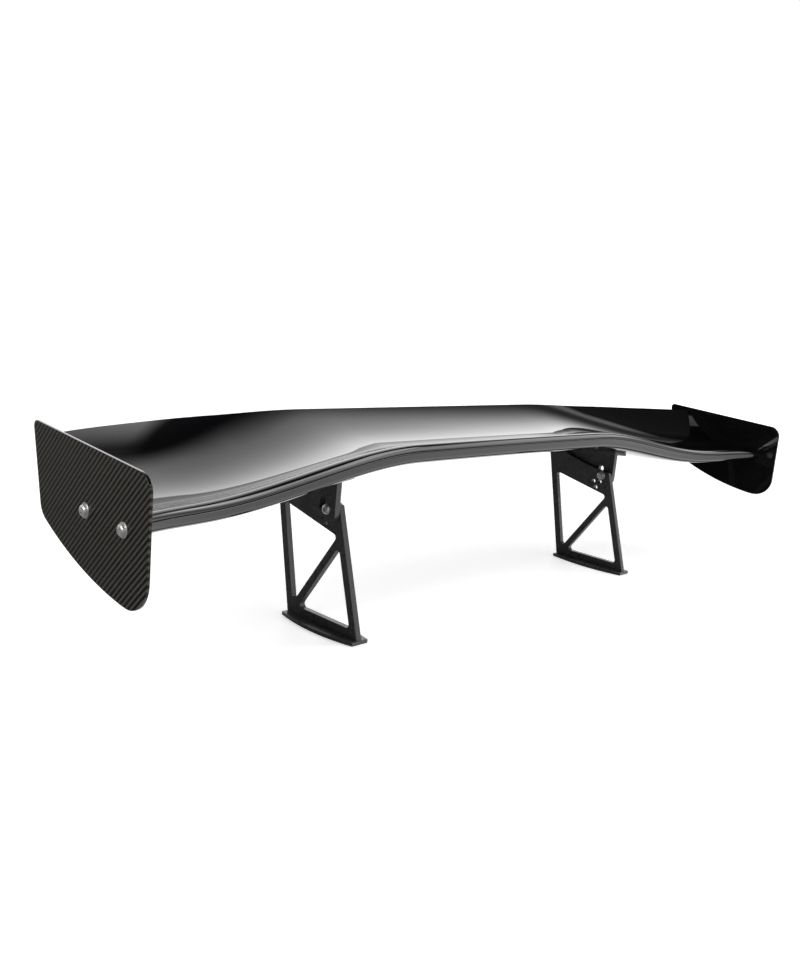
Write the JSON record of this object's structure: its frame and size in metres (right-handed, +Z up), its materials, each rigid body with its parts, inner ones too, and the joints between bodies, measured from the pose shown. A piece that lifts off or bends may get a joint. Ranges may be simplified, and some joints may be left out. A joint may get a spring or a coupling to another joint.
{
  "type": "racing rear wing",
  "caption": "Car rear wing: a swept, twisted wing between flat endplates, carried on truss uprights by brackets that pivot and clamp to set its angle.",
  "frame": {"origin": "on the mounting plane under the bases, below the middle of the whole wing's outline", "axes": "+X to the wing's right, +Y rearwards along the air flow, +Z up"},
  "size_m": [1.5652, 0.3494, 0.3159],
  "materials": {
    "gloss_black_skin": "smooth gloss black lacquer over laminate",
    "twill_laminate": "clear-coated woven twill laminate",
    "spar_laminate": "bare laminate",
    "core": "dense moulded core",
    "black_aluminium": "fine-textured satin black coat",
    "stainless": "turned stainless",
    "insert_steel": "plated, threaded bushes"
  },
  "bodies": {
    "stand": {"left_upright": "black_aluminium", "right_upright": "black_aluminium", "left_base": "black_aluminium", "right_base": "black_aluminium", "base_screws": "stainless", "front_bolts": "stainless", "front_nuts": "stainless", "front_washers": "stainless", "rear_bolts": "stainless", "rear_nuts": "stainless", "rear_washers": "stainless"},
    "wing": {"upper_skin": "gloss_black_skin", "lower_skin": "gloss_black_skin", "front_spar": "spar_laminate", "rear_spar": "spar_laminate", "ribs": "core", "foot_blocks": "core", "foot_inserts": "insert_steel", "left_tip_block": "core", "right_tip_block": "core", "tip_inserts": "insert_steel", "left_endplate": "twill_laminate", "right_endplate": "twill_laminate", "endplate_screws": "stainless", "endplate_washers": "stainless", "left_bracket": "black_aluminium", "right_bracket": "black_aluminium", "bracket_screws": "stainless"}
  },
  "joints": [
    {"name": "wing_angle", "type": "hinge", "parent": "stand", "child": "wing", "pos_m": [0, -0.00135, 0.1875], "axis": [1, 0, 0], "range_deg": [-2, 8]}
  ]
}
